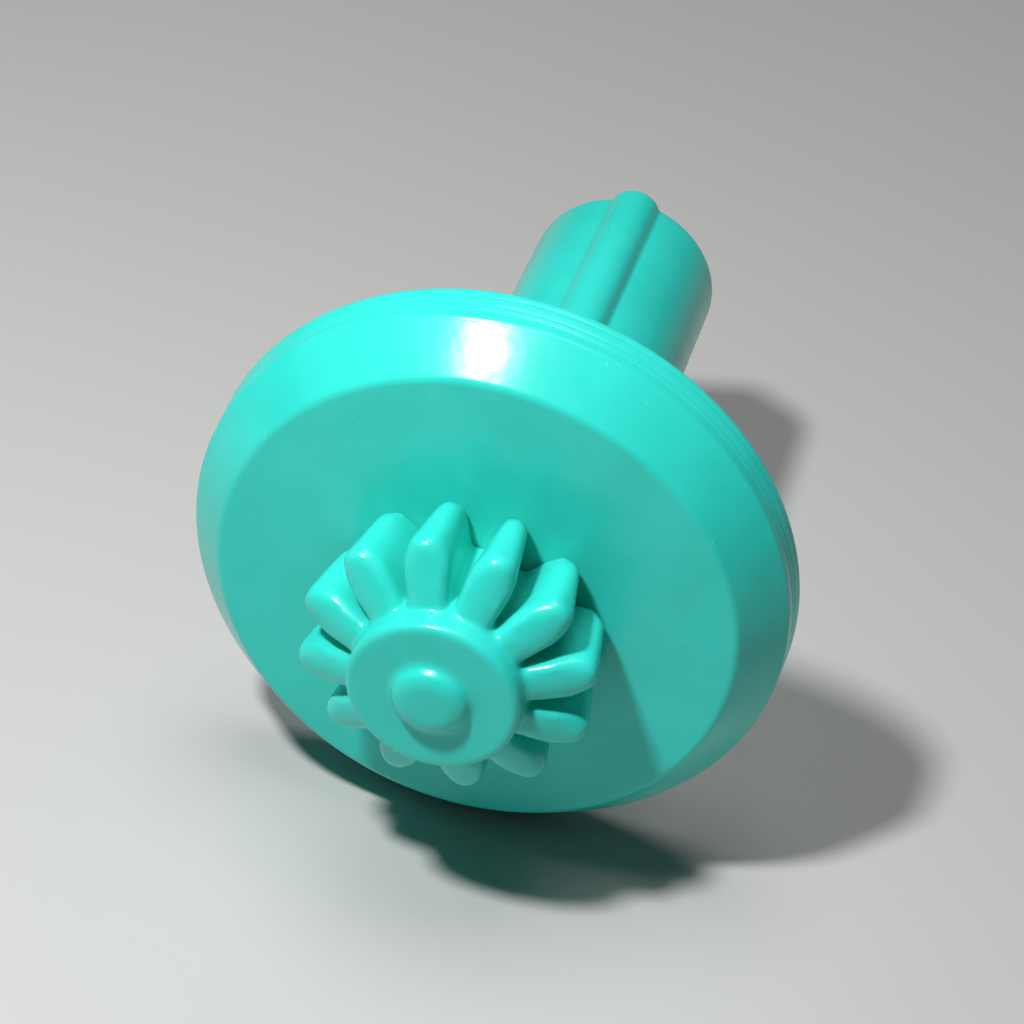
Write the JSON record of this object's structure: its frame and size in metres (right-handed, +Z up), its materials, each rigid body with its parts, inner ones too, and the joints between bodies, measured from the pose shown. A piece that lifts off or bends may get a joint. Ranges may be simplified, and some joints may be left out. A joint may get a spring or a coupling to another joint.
{
  "type": "pinion wheel on a keyed stem",
  "caption": "Small moulded plastic wheel: a toothed pinion with a pivot nose in front of a bevelled flange disc, turning on a long round stem with one key rib.",
  "frame": {"origin": "centre of the stem's front shoulder, on the wheel axis", "axes": "-Y out through the pinion and its nose, +Y along the stem, +Z up through the stem's key rib"},
  "size_m": [0.02, 0.0256, 0.02],
  "materials": {
    "teal_plastic": "gloss",
    "natural_plastic": "satin",
    "steel": "satin"
  },
  "bodies": {
    "stem": {"keyed_stem": "teal_plastic", "rear_washer": "natural_plastic"},
    "wheel": {"axle": "steel", "bevel_pinion": "teal_plastic", "flange_disc": "teal_plastic", "thrust_washer": "natural_plastic", "retaining_ring": "steel"}
  },
  "joints": [
    {"name": "wheel_spin", "type": "hinge", "parent": "stem", "child": "wheel", "pos_m": [0, 0, 0], "axis": [0, 1, 0], "continuous": true}
  ]
}
